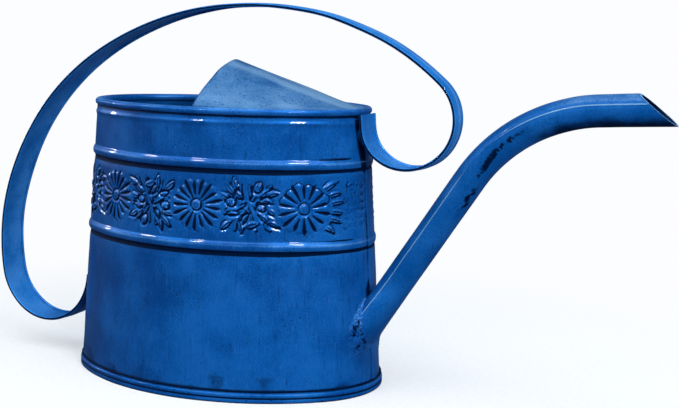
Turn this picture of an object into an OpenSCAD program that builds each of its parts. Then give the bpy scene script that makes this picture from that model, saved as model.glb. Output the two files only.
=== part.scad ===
// Oval sheet-metal watering can: tapered body, wired rim, front hood, strap handle and swan-neck spout.
// +X runs towards the spout, +Z is up, the origin is on the ground under the middle of the foot.

/* [Body] */
// Length of the foot, measured along the spout's direction
base_len = 200; // [180:1:240]
// Depth of the foot
base_w = 139; // [125:1:160]
// Radius of the foot's two round ends
end_r = 51; // [46:1:58]
// Height from the ground to the top of the rim
body_h = 169; // [150:1:190]
// Length of the wall where it meets the rim
top_len = 176.4; // [170:0.2:186]
// Thickness of the sheet
sheet = 1; // [0.6:0.1:1.4]
// Height of the middle of the lower bead
low_bead_z = 90; // [75:1:100]
// Height of the middle of the upper bead
high_bead_z = 136.5; // [120:0.5:142]
// Radius of the half-round beads
bead_r = 3; // [2:0.1:4]

/* [Foot and rim] */
// Height of the folded hoop round the foot
hoop_h = 7.5; // [5:0.5:12]
// Height of the bottom plate above the ground
pan_z = 3.5; // [2:0.5:5]
// Radius of the rolled rim
rim_r = 2.8; // [2.2:0.1:3.5]
// Radius of the wire inside the rim
wire_r = 1.5; // [1:0.1:1.8]

/* [Hood] */
// Distance of the hood's open edge in front of the middle of the can
hood_x = 3; // [-10:1:20]
// Height of the hood's open edge above the rim
hood_rise = 25; // [15:1:40]
// Distance of the hood's nose behind the middle of the rim's front
hood_gap = 4; // [3:0.5:12]

/* [Handle] */
// Width of the strap over the rear half
strap_w = 23; // [18:1:28]
// Width of the strap at the turn of the front loop
loop_w = 15; // [12:1:18]
// Width of the strap where it is fixed to the front of the can
tail_w = 20; // [18:1:23]
// Thickness of the strap
strap_t = 1.6; // [1:0.1:2.4]

/* [Spout] */
// Outside diameter of the spout
spout_d = 18.5; // [15:0.5:22]
// Rise of the straight lower part of the spout, in degrees
spout_rise = 56.6; // [50:0.2:62]
// Height at which the spout's middle line leaves the wall
spout_z = 43; // [36:1:50]
// Length of the spout's lower part, from the wall to the bend
spout_run = 105; // [90:1:120]
// Radius of the bend
bend_r = 95; // [80:1:110]
// Slope of the outlet, in degrees
outlet_rise = 2; // [0:1:6]
// Length of the outlet along its middle line
outlet_run = 26; // [18:1:32]
// Angle of the slanted mouth below the horizontal
mouth_tilt = 38; // [30:1:60]

/* [Hidden] */
$fn = 96;
far = 300;                               // longer than anything on the can
hoop_t = 1.4;                            // how far the hoop stands out from the wall
foot_a = base_len / 2 - hoop_t;          // half length of the wall at the ground
top_a = top_len / 2;                     // half length of the wall at the rim
taper = (foot_a - top_a) / body_h;       // lean of the wall, per millimetre of height
lean = atan(taper);
rim_a = top_a - sheet / 2;               // half length of the rim's middle line
rim_z = body_h - rim_r;                  // height of the rim's middle line
wall_top = rim_z - rim_r + 0.3;          // where the sheet goes into the roll
bead_sink = 1.2;                         // how deep a bead's round sits in the wall
oval_step = 5;                           // turn between stations round the oval, in degrees
roll_step = 30;                          // turn between the points of a rolled edge
seam_w = 6;                              // width of the folded seam down the front
seam_t = 0.5;                            // thickness of the folded seam, and of the solder behind the strap
pan_lip = 8;                             // height of the bottom plate's turned-up edge
hood_sink = 1.5;                         // how far the hood's lower edge sits below the rim's top
hood_inset = 2;                          // how far that edge is inside the rim's middle line
hood_power = 1.6;                        // roundness of the hood's cross-section
hood_steps = 18;                         // stations along the hood
hood_ribs = 28;                          // points across the hood
fillet_r = 1.4;                          // radius of the soldered joint under the hood
pad_h = 14;                              // height of each patch of solder behind the strap
spout_sides = 24;                        // points round the spout
bend_steps = 10;                         // stations along the bend
strap_step = 8;                          // length of the strap between points, at most
collar_h = 9;                            // length of the solder up the spout
collar_spread = 7;                       // how far it spreads over the wall

// The oval is four arcs that meet smoothly: two round ends and two long sides.
end_c = base_len / 2 - end_r;            // distance of an end's centre from the middle
side_r = (pow(end_c, 2) + pow(base_w / 2, 2) - pow(end_r, 2)) / (base_w - 2 * end_r);
side_c = side_r - base_w / 2;            // distance of a side's centre beyond the middle
side_half = atan2(end_c, side_c);        // half the angle that a side takes

function wall_a(z) = foot_a - taper * z;
// Half depth of the oval of half length a, at distance x from the middle
function oval_y(x, a) = let (inset = base_len / 2 - a, join = (side_r - inset) * sin(side_half))
    abs(x) < join ? sqrt(pow(side_r - inset, 2) - x * x) - side_c
                  : sqrt(max(pow(end_r - inset, 2) - pow(abs(x) - end_c, 2), 0));

// The handle's middle line is a chain of clockwise arcs [radius, sweep], from the rear wall to the front.
strap_start_z = 53;
strap_arcs = [[38, 29], [32, 81.5], [35, 56], [118, 23], [160, 44], [204, 44.5], [170, 29],
              [29, 177.5], [22.5, 43.5], [71, 5]];
loop_x = 147;                            // how far forward the front loop reaches
loop_z = 165;                            // height of the loop's foremost point

function arc_centre(p, h, r) = p + r * [sin(h), -cos(h)];
function arc_end(p, h, r, s) = arc_centre(p, h, r) + r * [-sin(h - s), cos(h - s)];
// Point and heading at the start of arc i
function strap_state(i) = i == 0
    ? [[-wall_a(strap_start_z) - seam_t - strap_t / 2, strap_start_z], -90 - lean]
    : let (q = strap_state(i - 1), a = strap_arcs[i - 1]) [arc_end(q[0], q[1], a[0], a[1]), q[1] - a[1]];

// The spout's middle line is a straight, a bend and a short straight outlet.
spout_start = [wall_a(spout_z), spout_z];
bend_start = spout_start + spout_run * [cos(spout_rise), sin(spout_rise)];
bend_sweep = spout_rise - outlet_rise;
bend_centre = arc_centre(bend_start, spout_rise, bend_r);
bend_end = arc_end(bend_start, spout_rise, bend_r, bend_sweep);
mouth = bend_end + outlet_run * [cos(outlet_rise), sin(outlet_rise)];

// Point on the oval whose outward normal has turned by t; u is measured outwards from the foot's edge.
function oval_point(t, u, z) = let (n = [cos(t), sin(t)], at_end = abs(n[0]) > sin(side_half),
    centre = at_end ? [sign(n[0]) * end_c, 0] : [0, -sign(n[1]) * side_c],
    p = centre + ((at_end ? end_r : side_r) + u) * n) [p[0], p[1], z];

// The wall's outside at height z, as [u, z]
function wall_edge(z) = [wall_a(z) - base_len / 2, z];

// Points of a round of radius r about c, from angle a0 to a1
function round_points(c, r, a0, a1, step) = [for (a = [a0 : step : a1]) c + r * [cos(a), sin(a)]];

// The four corners a, a + da, a + da + db, a + db of a point grid, as one face
function quad(a, da, db) = [a, a + da, a + da + db, a + db];

// Sweeps an outline of [u, z] points, drawn anticlockwise, all the way round the oval
module oval_loop(outline) {
    n = len(outline);
    turns = 360 / oval_step;
    polyhedron(convexity = 6,
        points = [for (i = [0 : turns - 1]) for (q = outline) oval_point(i * oval_step, q[0], q[1])],
        faces = [for (i = [0 : turns - 1]) for (j = [0 : n - 1])
            let (k = (i + 1) % turns, l = (j + 1) % n) [i * n + j, i * n + l, k * n + l, k * n + j]]);
}

// Upright solid oval of height h, moved in from the foot's outside edge by inset
module oval_plate(h, inset) {
    linear_extrude(h)
        polygon([for (t = [0 : oval_step : 359]) let (p = oval_point(t, -inset, 0)) [p[0], p[1]]]);
}

// Puts a shape drawn along Z at p, pointing up the slope
module along(p, slope) { translate([p[0], 0, p[1]]) rotate([0, 90 - slope, 0]) children(); }

// The space inside the wall's front end
module front_cone() {
    translate([end_c, 0, -1]) cylinder(h = body_h + 1, r1 = wall_a(-1) - end_c, r2 = wall_a(body_h) - end_c);
}

// Upright strip on the wall's outermost line: from y0 to y1, over a height, t thick
module end_strip(y0, y1, z, h, t) {
    root = sheet * 0.9;                  // how far it reaches into the wall
    translate([wall_a(z), y0, z]) rotate([0, -lean, 0]) translate([-root, 0, 0]) cube([root + t, y1 - y0, h]);
}

module wall() {
    bead_end = acos(bead_sink / bead_r);
    beads = [for (z = [low_bead_z, high_bead_z])
        each round_points(wall_edge(z) - [bead_sink, 0], bead_r, -bead_end, bead_end, bead_end / 3)];
    color("royalblue") difference() {
        union() {
            oval_loop(concat([wall_edge(0)], beads, [wall_edge(wall_top), wall_edge(wall_top) - [sheet, 0],
                                                     wall_edge(0) - [sheet, 0]]));
            end_strip(-seam_w / 2, seam_w / 2, hoop_h, wall_top - hoop_h, seam_t);
        }
        along(spout_start, spout_rise) cylinder(h = 4 * collar_h, r = spout_d / 2 - sheet, center = true);
    }
}

module base_pan() {
    low = wall_edge(pan_z) - [sheet, 0];
    high = wall_edge(pan_z + pan_lip) - [sheet, 0];
    color("mediumblue") {
        translate([0, 0, pan_z]) oval_plate(sheet, sheet / 2 - low[0]);
        oval_loop([low, high, high - [sheet, 0], low - [sheet, 0]]);
    }
}

module base_hoop() {
    color("cornflowerblue") difference() {
        oval_plate(hoop_h, 0);
        translate([0, 0, -hoop_h]) oval_plate(3 * hoop_h, hoop_t);
    }
}

module rim_roll() {
    middle = [rim_a - base_len / 2, rim_z];
    color("royalblue") difference() {
        oval_loop(round_points(middle, rim_r, 0, 359, roll_step / 2));
        oval_loop(round_points(middle, wire_r, 0, 359, roll_step));
    }
}

module rim_wire() {
    color("slategray") oval_loop(round_points([rim_a - base_len / 2, rim_z], wire_r, 0, 359, roll_step));
}

// Points across the hood at distance x, for the skin that lies inset below the outside
function hood_row(x, inset) =
    let (nose = rim_a - hood_gap, half = oval_y(x, rim_a - hood_inset) - inset,
         rise = (hood_rise + hood_sink) * (nose + 1 - x) / (nose + 1 - hood_x))
    [for (j = [0 : hood_ribs]) let (s = 2 * j / hood_ribs - 1)
        [x, s * half, body_h - hood_sink - inset * (1 - abs(s)) + rise * (1 - pow(abs(s), hood_power))]];

module hood() {
    nose = rim_a - hood_gap;
    row = hood_ribs + 1;
    skin = row * (hood_steps + 1);
    points = [for (inset = [0, sheet]) for (i = [0 : hood_steps])
        each hood_row(hood_x + (nose - hood_x) * i / hood_steps, inset)];
    color("cornflowerblue") polyhedron(points = points, convexity = 6, faces = concat(
        [for (i = [0 : hood_steps - 1]) for (j = [0 : hood_ribs - 1]) quad(i * row + j, 1, row)],
        [for (i = [0 : hood_steps - 1]) for (j = [0 : hood_ribs - 1]) quad(skin + i * row + j, row, 1)],
        [for (i = [0 : hood_steps - 1]) quad(i * row, row, skin)],
        [for (i = [0 : hood_steps - 1]) quad(i * row + hood_ribs, skin, row)],
        [for (j = [0 : hood_ribs - 1]) quad(j, skin, 1)],
        [for (j = [0 : hood_ribs - 1]) quad(hood_steps * row + j, 1, skin)]));
}

module hood_solder() {
    middle = [rim_a - base_len / 2 - rim_r - fillet_r / 2, rim_z - fillet_r / 4];
    color("lightsteelblue") intersection() {
        oval_loop(round_points(middle, fillet_r, 0, 359, 2 * roll_step));
        translate([hood_x + 4, -far / 2, 0]) cube(far);
    }
}

// Points along one side of the strap, off from its middle line
function strap_side(off) = [for (i = [0 : len(strap_arcs) - 1])
    let (q = strap_state(i), r = strap_arcs[i][0], s = strap_arcs[i][1], c = arc_centre(q[0], q[1], r),
         steps = ceil(max(s / 10, r * s * PI / 180 / strap_step)))
    for (k = [0 : steps - (i == len(strap_arcs) - 1 ? 0 : 1)]) let (h = q[1] - s * k / steps)
        c + (r + off) * [-sin(h), cos(h)]];

// What is cut from the strap's edges between x0, where it is w0 wide, and its narrowest place
module strap_trim(x0, w0) {
    for (side = [0, 1]) mirror([0, side, 0]) linear_extrude(far)
        polygon([[x0, w0 / 2], [loop_x, loop_w / 2], [far, loop_w / 2], [far, far], [x0, far]]);
}

module handle_strap() {
    outer = strap_side(strap_t / 2);
    inner = strap_side(-strap_t / 2);
    color("royalblue") difference() {
        rotate([90, 0, 0]) linear_extrude(strap_w, center = true)
            polygon(concat(outer, [for (i = [len(inner) - 1 : -1 : 0]) inner[i]]));
        translate([0, 0, loop_z]) strap_trim(0, strap_w);
        translate([0, 0, loop_z - far]) strap_trim(rim_a - rim_r, tail_w);
    }
}

// Solder either side of the seam, between the wall and a strap of width w, from height z up
module strap_pads(z, w) {
    for (side = [0, 1]) mirror([0, side, 0]) end_strip(seam_w / 2, w / 2, z, pad_h, seam_t);
}

module front_solder() { color("lightsteelblue") strap_pads(146, tail_w - 4); }

module rear_solder() {
    color("lightsteelblue") rotate([0, 0, 180]) strap_pads(strap_start_z - pad_h - 1, strap_w - 6);
}

// Station k of the spout's middle line, as [point, slope]
function spout_station(k) = let (h = spout_rise - bend_sweep * k / bend_steps)
    [bend_centre + bend_r * [-sin(h), cos(h)], h];

// Ring of radius r square to the spout at station k
function spout_ring(k, r) = let (q = spout_station(k), h = q[1])
    [for (i = [0 : spout_sides - 1]) let (a = 360 * i / spout_sides)
        [q[0][0] - r * sin(a) * sin(h), r * cos(a), q[0][1] + r * sin(a) * cos(h)]];

// The first ring slid back along the lower part until it meets the wall
function root_ring(r) = [for (p = spout_ring(0, r))
    let (d = [cos(spout_rise), sin(spout_rise)], top = wall_a(0) - end_c, x = p[0] - end_c,
         a = d[0] * d[0] - pow(taper * d[1], 2),
         b = x * d[0] + taper * d[1] * (top - taper * p[2]),
         c = x * x + p[1] * p[1] - pow(top - taper * p[2], 2),
         t = (-b + sqrt(b * b - a * c)) / a)
    [p[0] + t * d[0], p[1], p[2] + t * d[1]]];

// The last ring slid forward along the outlet until it meets the slanted mouth
function mouth_ring(r) = [for (p = spout_ring(bend_steps, r))
    let (d = [cos(outlet_rise), sin(outlet_rise)], n = [sin(mouth_tilt), cos(mouth_tilt)],
         t = ((mouth - [p[0], p[2]]) * n) / (d * n))
    [p[0] + t * d[0], p[1], p[2] + t * d[1]]];

module spout_tube() {
    n = spout_sides;
    skin = n * (bend_steps + 3);
    points = [for (r = [spout_d / 2, spout_d / 2 - sheet])
        each concat(root_ring(r), [for (k = [0 : bend_steps]) each spout_ring(k, r)], mouth_ring(r))];
    rings = bend_steps + 2;
    color("royalblue") polyhedron(points = points, convexity = 6, faces = [
        for (j = [0 : n - 1]) let (next = (j + 1) % n - j) each concat(
            [for (i = [0 : rings - 1]) quad(i * n + j, n, next)],
            [for (i = [0 : rings - 1]) quad(skin + i * n + j, next, n)],
            [quad(j, next, skin)],
            [quad(rings * n + j, skin, next)])]);
}

module spout_solder() {
    color("lightsteelblue") difference() {
        along(spout_start, spout_rise) translate([0, 0, -collar_h])
            cylinder(h = 2 * collar_h, r1 = spout_d / 2 + collar_spread, r2 = spout_d / 2 + sheet / 2);
        along(spout_start, spout_rise) cylinder(h = 8 * collar_h, r = spout_d / 2, center = true);
        front_cone();
    }
}

wall();
base_pan();
base_hoop();
rim_roll();
rim_wire();
hood();
hood_solder();
handle_strap();
front_solder();
rear_solder();
spout_tube();
spout_solder();
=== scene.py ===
import math

import bpy
import numpy as np
from mathutils import Matrix, Vector


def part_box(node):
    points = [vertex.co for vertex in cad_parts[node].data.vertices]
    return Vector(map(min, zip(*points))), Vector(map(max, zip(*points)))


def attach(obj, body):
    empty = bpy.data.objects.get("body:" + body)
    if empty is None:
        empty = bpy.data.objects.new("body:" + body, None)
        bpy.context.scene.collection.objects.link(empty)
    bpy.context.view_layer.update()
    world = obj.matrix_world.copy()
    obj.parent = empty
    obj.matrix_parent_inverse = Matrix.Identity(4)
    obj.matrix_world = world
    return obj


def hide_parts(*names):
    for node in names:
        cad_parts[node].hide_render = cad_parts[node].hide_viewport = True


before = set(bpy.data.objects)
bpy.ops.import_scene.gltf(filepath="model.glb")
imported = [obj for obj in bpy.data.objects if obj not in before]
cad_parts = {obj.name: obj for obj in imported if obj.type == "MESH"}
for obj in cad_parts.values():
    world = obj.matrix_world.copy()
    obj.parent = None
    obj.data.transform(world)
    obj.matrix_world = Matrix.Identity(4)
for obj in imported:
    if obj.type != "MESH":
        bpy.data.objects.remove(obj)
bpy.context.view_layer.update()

mm = 0.001                  # the pieces are worked out in millimetres


def addObject(name, data):
    made = bpy.data.objects.new(name, data)
    bpy.context.scene.collection.objects.link(made)
    return made


# ---- camera ----

camera = {
    "place": (0.37466, -0.7036, 0.21982),
    "turn": 23.18,          # degrees round the can from straight in front
    "tilt": 8.13,           # degrees down
    "roll": 1.24,
    "lens": 68.93,          # on a sensor 36 mm wide
}


def makeCamera(c):
    data = bpy.data.cameras.new("camera")
    data.lens = c["lens"]
    data.sensor_width = 36
    data.clip_start = 0.01
    data.clip_end = 50
    made = addObject("camera", data)
    turn = Matrix.Rotation(math.radians(c["turn"]), 4, "Z")
    tilt = Matrix.Rotation(math.radians(90 - c["tilt"]), 4, "X")
    roll = Matrix.Rotation(math.radians(c["roll"]), 4, "Z")
    made.matrix_world = Matrix.Translation(c["place"]) @ turn @ tilt @ roll
    bpy.context.scene.camera = made


makeCamera(camera)


# ---- finishes ----

class Socket:               # a node's output, which can be added, multiplied and so on
    def __init__(self, finish, output):
        self.finish = finish
        self.output = output

    def combine(self, kind, a, b):
        return self.finish.node("ShaderNodeMath", {"operation": kind}, {0: a, 1: b})

    def __add__(self, other):
        return self.combine("ADD", self, other)

    def __radd__(self, other):
        return self.combine("ADD", other, self)

    def __sub__(self, other):
        return self.combine("SUBTRACT", self, other)

    def __rsub__(self, other):
        return self.combine("SUBTRACT", other, self)

    def __mul__(self, other):
        return self.combine("MULTIPLY", self, other)

    def __rmul__(self, other):
        return self.combine("MULTIPLY", other, self)

    def __truediv__(self, other):
        return self.combine("DIVIDE", self, other)

    def __pow__(self, other):
        return self.combine("POWER", self, other)


def tint(red, green, blue):  # a screen colour, 0 to 255, as the shaders' linear one
    parts = [c / 255 for c in (red, green, blue)]
    return [p / 12.92 if p < 0.04045 else ((p + 0.055) / 1.055) ** 2.4 for p in parts] + [1]


class Finish:
    def __init__(self, name):
        self.material = bpy.data.materials.new(name)
        self.material.use_nodes = True
        self.tree = self.material.node_tree
        self.shader = self.tree.nodes["Principled BSDF"]

    def node(self, kind, settings, inputs, out=0):
        made = self.tree.nodes.new(kind)
        for name, value in settings.items():
            setattr(made, name, value)
        for name, value in inputs.items():
            self.feed(made.inputs[name], value)
        return Socket(self, made.outputs[out])

    def feed(self, socket, value):
        if isinstance(value, Socket):
            self.tree.links.new(value.output, socket)
        else:
            socket.default_value = value

    def set(self, **sockets):   # the shader's inputs by name, with _ for a space
        for name, value in sockets.items():
            self.feed(self.shader.inputs[name.replace("_", " ")], value)

    def place(self, x=1, y=1, z=1):   # where on the piece, in metres, stretched by x, y and z
        at = self.node("ShaderNodeTexCoord", {}, {}, "Object")
        return self.node("ShaderNodeMapping", {}, {"Vector": at, "Scale": (x, y, z)})

    def cloud(self, where, scale, detail=3, roughness=0.5, distortion=0):
        return self.node("ShaderNodeTexNoise", {}, {
            "Vector": where, "Scale": scale, "Detail": detail, "Roughness": roughness,
            "Distortion": distortion})

    def grains(self, where, scale):
        return self.node("ShaderNodeTexVoronoi", {}, {"Vector": where, "Scale": scale})

    def mark(self, name):       # a value that the piece's points carry
        return self.node("ShaderNodeAttribute", {"attribute_name": name}, {}, "Fac")

    def ramp(self, value, low, high, start=0, end=1):
        return self.node("ShaderNodeMapRange", {"interpolation_type": "SMOOTHSTEP"}, {
            "Value": value, "From Min": low, "From Max": high, "To Min": start, "To Max": end})

    def blend(self, a, b, share):   # colour a, turning to b
        made = self.tree.nodes.new("ShaderNodeMix")
        made.data_type = "RGBA"
        for socket, value in zip([made.inputs[i] for i in (0, 6, 7)], (share, a, b)):
            self.feed(socket, value)
        return Socket(self, made.outputs[2])

    def bump(self, height, depth):  # depth in metres for a height of 1
        return self.node("ShaderNodeBump", {}, {"Height": height, "Strength": 1, "Distance": depth})


lacquerLook = {
    "deep": tint(0, 61, 127),       # the thick parts of the coat
    "body": tint(1, 82, 156),       # the coat as most of it shows
    "dusty": tint(92, 150, 212),    # where it is thin, rubbed or dusty, and the painted highlights
    "dark": tint(0, 13, 42),        # what was wiped into the creases, and the painted shade
    "sheen": (0.16, 0.50, 1.0, 1),  # the colour of its gloss
    "dust": 0.06,                   # how much of the dusty colour lies over everything
    "streak": 0.45,                 # strength of the upright streaks
    "specks": 0.7,                  # strength of the fine dark specks
    "speckSize": 520,               # specks to the metre, roughly
    "cover": 0.3,                   # how much of the surface has specks, 0 to 1
    "rough": 0.36,
    "coat": 0.28,                   # of clear gloss over it
    "coatRough": 0.05,
    "metal": 0.2,
    "gloss": 0.12,                  # of the coloured layer itself
    "grain": 1.0,                   # strength of the fine unevenness
    "relief": 0.00022,              # its depth in metres
}


def lacquer(name, **changes):
    look = {**lacquerLook, **changes}
    f = Finish(name)
    flat = f.place()
    tall = f.place(1, 1, 0.12)
    mottle = f.cloud(flat, 38, 4, 0.55)
    drift = f.cloud(flat, 9, 2, 0.5)
    streaks = f.cloud(tall, 560, 3, 0.65)
    lines = f.cloud(tall, 900, 2, 0.5)
    fine = f.cloud(flat, 1500, 2, 0.6)
    pits = f.grains(flat, look["speckSize"])
    spread = f.cloud(flat, 60, 3, 0.6)

    # the coat runs from thick to thin
    thin = f.ramp(mottle * 0.5 + drift * 0.2 + fine * 0.3, 0.38, 0.60)
    colour = f.blend(look["deep"], look["body"], thin)
    colour = f.blend(colour, look["dusty"], f.ramp(fine * 0.5 + mottle * 0.5, 0.40, 0.66) * look["dust"])
    colour = f.blend(colour, look["dark"], f.ramp(streaks, 0.52, 0.80) * look["streak"])
    colour = f.blend(colour, look["dusty"], f.ramp(lines, 0.60, 0.78) * (look["streak"] * 0.2))

    # specks sit in the middle of some of the cells
    speck = f.ramp(pits, 0.30, 0.12) * f.ramp(
        spread * 0.6 + fine * 0.4, 0.58 - 0.25 * look["cover"], 0.64 - 0.25 * look["cover"])
    colour = f.blend(colour, look["dark"], speck * look["specks"])

    # patina and painted shade in the creases and under things, and rubbed places and painted highlights, both
    # broken up
    patinaAndShade = f.mark("patinaAndShade")
    wearAndHighlight = f.mark("wearAndHighlight")
    stainAndShade = f.ramp(patinaAndShade + (spread - 0.5) * 0.5 + (fine - 0.5) * 0.35, 0.20, 0.54)
    stainAndShade = stainAndShade * f.ramp(patinaAndShade, 0.02, 0.12)
    rubAndHighlight = f.ramp(wearAndHighlight + (mottle - 0.5) * 0.6 + (fine - 0.5) * 0.4, 0.35, 0.85)
    rubAndHighlight = rubAndHighlight * f.ramp(wearAndHighlight, 0.02, 0.12)
    colour = f.blend(colour, look["dark"], stainAndShade)
    colour = f.blend(colour, look["dusty"], rubAndHighlight * 0.75)

    height = fine * 0.25 + streaks * 0.25 + mottle * 0.9 - speck * 0.4
    f.set(Base_Color=colour)
    f.set(Roughness=look["rough"] + (fine - 0.5) * 0.10 + stainAndShade * 0.25 + rubAndHighlight * 0.06 + mottle * 0.06)
    f.set(Metallic=look["metal"], Specular_IOR_Level=look["gloss"], Specular_Tint=look["sheen"])
    f.set(Coat_Weight=(1 - stainAndShade) * look["coat"], Coat_Roughness=look["coatRough"])
    f.set(Normal=f.bump(height, look["relief"] * look["grain"]))
    return f.material


def bareSteel(name):
    f = Finish(name)
    long = f.cloud(f.place(), 500, 4, 0.6)
    rust = f.cloud(f.place(), 90, 5, 0.65)
    share = f.ramp(rust, 0.52, 0.68)
    f.set(Base_Color=f.blend(tint(150, 156, 162), tint(96, 62, 44), share))
    f.set(Metallic=1 - share * 0.8, Roughness=0.32 + long * 0.2 + share * 0.3)
    f.set(Normal=f.bump(long + rust, 0.0001))
    return f.material


finishes = {
    "wall": lacquer("royal_lacquer_on_wall"),
    "foot": lacquer("royal_lacquer_on_foot", dust=0.08, streak=0.2, specks=0.9, rough=0.38, cover=0.5,
                    coat=0.12),
    "rim": lacquer("royal_lacquer_on_rim", dust=0.15, streak=0.15, coat=0.07),
    "hood": lacquer("dusty_lacquer_on_hood", body=tint(50, 103, 152), deep=tint(24, 80, 136),
                    dusty=tint(110, 149, 186), dark=tint(2, 38, 84), dust=0.45, streak=0.3, specks=0.9,
                    speckSize=380, cover=0.72, rough=0.42, coat=0.08),
    "strap": lacquer("smooth_lacquer_on_strap", body=tint(18, 113, 192), deep=tint(6, 93, 168), dust=0.2,
                     streak=0.12, specks=0.4, grain=0.5, coat=0.1),
    "spout": lacquer("smooth_lacquer_on_spout", body=tint(1, 82, 154), deep=tint(0, 67, 132),
                     dusty=tint(106, 146, 178), dust=0.06, streak=0.3, specks=0.5, grain=0.5, rough=0.4,
                     metal=0.1, coat=0.07),
    "solder": lacquer("lacquer_over_solder", dust=0.25, streak=0, specks=1, grain=3, rough=0.42),
    "pan": lacquer("thin_lacquer_on_bottom", dust=0.35, streak=0, specks=0.8, rough=0.5),
    "wire": bareSteel("bare_steel_wire"),
}
print("finishes made")


# ---- shared shapes ----

def boxOf(node):            # a CAD node's lowest and highest corners, in millimetres
    low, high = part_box(node)
    return np.array(low) / mm, np.array(high) / mm


hoopHigh = boxOf("base_hoop")[1]
rimLow, rimHigh = boxOf("rim_roll")
panLow, panHigh = boxOf("base_pan")
hoodLow, hoodHigh = boxOf("hood")

oval = {
    "halfLength": hoopHigh[0],
    "halfDepth": hoopHigh[1],
    "endRadius": 51,        # of the foot's two round ends
}
oval["endCentre"] = oval["halfLength"] - oval["endRadius"]
oval["sideRadius"] = (oval["endCentre"] ** 2 + oval["halfDepth"] ** 2 - oval["endRadius"] ** 2) / (
    2 * (oval["halfDepth"] - oval["endRadius"]))
oval["sideCentre"] = oval["sideRadius"] - oval["halfDepth"]
oval["joinTurn"] = math.pi / 2 - math.atan2(oval["endCentre"], oval["sideCentre"])

rimRadius = (rimHigh[2] - rimLow[2]) / 2
rimHalf = rimHigh[0] - rimRadius
rimHeight = rimHigh[2] - rimRadius
sheet = 1.0
hoopThick = 1.4             # how far the hoop stands out from the wall
footHalf = oval["halfLength"] - hoopThick
taper = (footHalf - rimHalf - sheet / 2) / rimHigh[2]
lean = math.atan(taper)


def wallHalf(z):            # half length of the wall's outside at height z
    return footHalf - taper * z


# The point of the oval whose outward normal has turned by turn; out is measured from the foot's edge.
def ovalPoint(turn, out, z):
    turn, out, z = np.broadcast_arrays(turn, out, z)
    c, s = np.cos(turn), np.sin(turn)
    atEnd = np.abs(c) > math.cos(oval["joinTurn"])
    radius = np.where(atEnd, oval["endRadius"], oval["sideRadius"]) + out
    x = np.where(atEnd, np.sign(c) * oval["endCentre"], 0) + radius * c
    y = np.where(atEnd, 0, -np.sign(s) * oval["sideCentre"]) + radius * s
    return np.stack([x, y, z + 0 * x], -1)


# Turns of points that lie these distances round an oval, from the front towards +Y.
def turnsAt(distance, out):
    join = oval["joinTurn"]
    bounds = [0, join, math.pi - join, math.pi + join, 2 * math.pi - join, 2 * math.pi]
    radii = [oval["endRadius"], oval["sideRadius"], oval["endRadius"], oval["sideRadius"], oval["endRadius"]]
    ends = [0]
    for i in range(5):
        ends.append(ends[-1] + (bounds[i + 1] - bounds[i]) * (radii[i] + out))
    return np.interp(distance, ends, bounds), ends[-1]


def smooth(value, low, high):
    t = np.clip((value - low) / (high - low), 0, 1)
    return t * t * (3 - 2 * t)


def ahead(heading):         # one unit along a heading in the upright plane down the can's middle
    return np.array([math.cos(heading), math.sin(heading)])


def aside(heading):         # one unit to its left
    return np.array([-math.sin(heading), math.cos(heading)])


def hill(value, middle, width):
    return np.exp(-((value - middle) / width) ** 2)


# Soft unevenness between about -1 and 1: a few waves that run in random directions.
def ripple(points, length, seed, waves=9):
    chance = np.random.default_rng(seed)
    total = np.zeros(points.shape[:-1])
    for _ in range(waves):
        way = chance.normal(size=3)
        way = way / np.linalg.norm(way) * chance.uniform(0.6, 1.5)
        total += np.sin(points @ way * (2 * math.pi / length) + chance.uniform(0, 2 * math.pi))
    return total / math.sqrt(waves)


# Joins rows of points into faces. A row may have twice or half as many points as the next.
def stitch(counts, closeRows=True, closeRound=True):
    starts = np.concatenate([[0], np.cumsum(counts)])
    faces = []
    rows = len(counts)
    for i in range(rows if closeRows else rows - 1):
        k = (i + 1) % rows
        a, b, countA, countB = int(starts[i]), int(starts[k]), counts[i], counts[k]
        steps = min(countA, countB)
        for j in range(steps if closeRound else steps - 1):
            if countA == countB:
                n = (j + 1) % steps
                faces.append((a + j, a + n, b + n, b + j))
            elif countB == 2 * countA:
                n, far = (j + 1) % countA, (2 * j + 2) % countB
                faces.append((a + j, a + n, b + far, b + 2 * j + 1, b + 2 * j))
            else:
                n, far = (j + 1) % countB, (2 * j + 2) % countA
                faces.append((a + 2 * j, a + 2 * j + 1, a + far, b + n, b + j))
    return faces


def tube(rows, around):     # rows of the same number of points, with the first and last rows closed
    faces = stitch([around] * rows, closeRows=False)
    faces.append(tuple(range(around - 1, -1, -1)))
    faces.append(tuple(range((rows - 1) * around, rows * around)))
    return faces


def volume(points, faces):
    total = 0.0
    for size in sorted({len(f) for f in faces}):
        same = np.array([f for f in faces if len(f) == size])
        for k in range(1, size - 1):
            a, b, c = points[same[:, 0]], points[same[:, k]], points[same[:, k + 1]]
            total += (np.cross(a, b) * c).sum()
    return total


def makePiece(name, points, faces, finish, nodes, marks={}, sharp=45):
    if volume(points, faces) < 0:
        faces = [tuple(reversed(f)) for f in faces]
    mesh = bpy.data.meshes.new(name)
    mesh.from_pydata((points * mm).tolist(), [], faces)
    for mark in ("patinaAndShade", "wearAndHighlight"):
        values = np.broadcast_to(marks.get(mark, 0.0), len(points)).astype(np.float32)
        mesh.attributes.new(mark, "FLOAT", "POINT").data.foreach_set("value", values)
    mesh.materials.append(finishes[finish])
    mesh.shade_smooth()
    mesh.set_sharp_from_angle(angle=math.radians(sharp))
    piece = addObject(name, mesh)
    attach(piece, "root")
    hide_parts(*nodes)
    print(name, "made,", len(points), "points")


# ---- wall ----

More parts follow.
